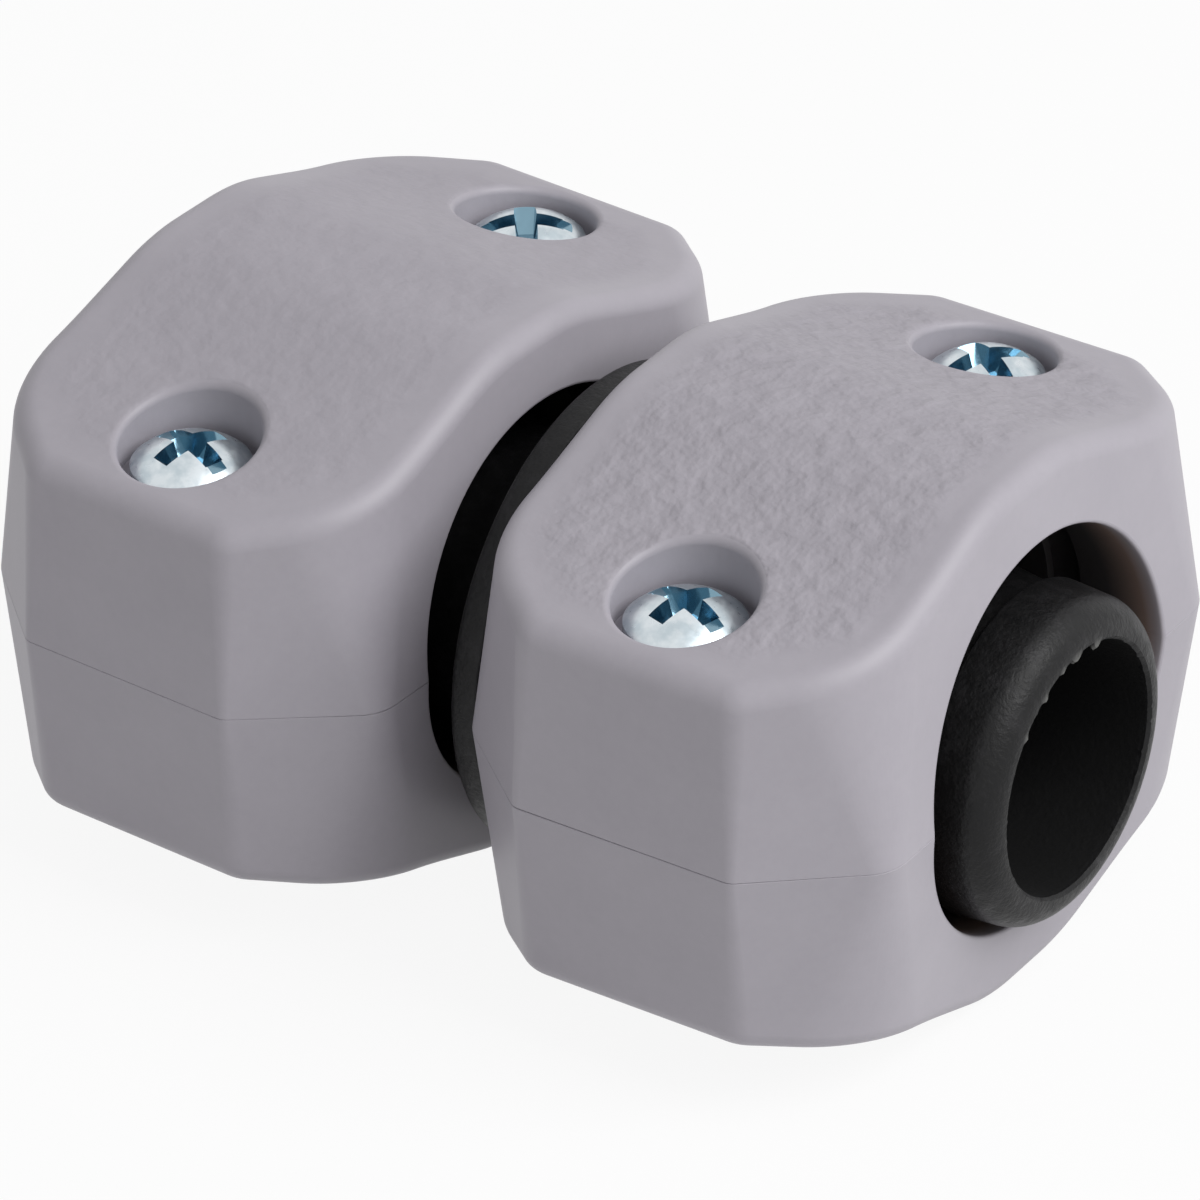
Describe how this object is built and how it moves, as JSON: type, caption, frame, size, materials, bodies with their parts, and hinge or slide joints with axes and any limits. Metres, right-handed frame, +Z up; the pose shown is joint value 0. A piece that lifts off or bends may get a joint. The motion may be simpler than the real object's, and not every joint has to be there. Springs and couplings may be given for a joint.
{
  "type": "hose mender",
  "caption": "Hose mender with a barbed black stem and stop flange between two grey screw-down hose clamps.",
  "frame": {"origin": "middle of the stem, on the axis of its waterway", "axes": "+X along the stem towards the front clamp, +Y along the ears to the far screws, +Z up along the screws"},
  "size_m": [0.063, 0.0454, 0.033],
  "materials": {
    "grey_polymer": "moulded grey polymer, lightly textured on top and smooth on its sides",
    "black_polymer": "moulded black polymer, fine grain",
    "zinc_steel": "bright bluish zinc plate"
  },
  "bodies": {
    "stem_and_lower_halves": {"stem": "black_polymer", "front_lower_half": "grey_polymer", "rear_lower_half": "grey_polymer"},
    "front_upper_half": {"front_upper_half": "grey_polymer"},
    "rear_upper_half": {"rear_upper_half": "grey_polymer"},
    "front_near_screw": {"front_near_screw": "zinc_steel"},
    "front_far_screw": {"front_far_screw": "zinc_steel"},
    "rear_near_screw": {"rear_near_screw": "zinc_steel"},
    "rear_far_screw": {"rear_far_screw": "zinc_steel"}
  },
  "joints": [
    {"name": "front_lift", "type": "slide", "parent": "stem_and_lower_halves", "child": "front_upper_half", "axis": [0, 0, 1], "range_m": [0, 0.009]},
    {"name": "rear_lift", "type": "slide", "parent": "stem_and_lower_halves", "child": "rear_upper_half", "axis": [0, 0, 1], "range_m": [0, 0.009]},
    {"name": "front_near_screw_turn", "type": "hinge", "parent": "front_upper_half", "child": "front_near_screw", "pos_m": [0.01565, -0.0153, 0.0116], "axis": [0, 0, 1], "range_deg": [0, 2553]},
    {"name": "front_far_screw_turn", "type": "hinge", "parent": "front_upper_half", "child": "front_far_screw", "pos_m": [0.01565, 0.0153, 0.0116], "axis": [0, 0, 1], "range_deg": [0, 2553]},
    {"name": "rear_near_screw_turn", "type": "hinge", "parent": "rear_upper_half", "child": "rear_near_screw", "pos_m": [-0.01679, -0.01637, 0.0116], "axis": [0, 0, 1], "range_deg": [0, 2553]},
    {"name": "rear_far_screw_turn", "type": "hinge", "parent": "rear_upper_half", "child": "rear_far_screw", "pos_m": [-0.015, 0.01418, 0.0116], "axis": [0, 0, 1], "range_deg": [0, 2553]}
  ],
  "couplings": [
    {"joint": "front_near_screw_turn", "follows": "front_lift", "rad_per_m": 4947.4},
    {"joint": "front_far_screw_turn", "follows": "front_lift", "rad_per_m": 4947.4},
    {"joint": "rear_near_screw_turn", "follows": "rear_lift", "rad_per_m": 4947.4},
    {"joint": "rear_far_screw_turn", "follows": "rear_lift", "rad_per_m": 4947.4}
  ]
}
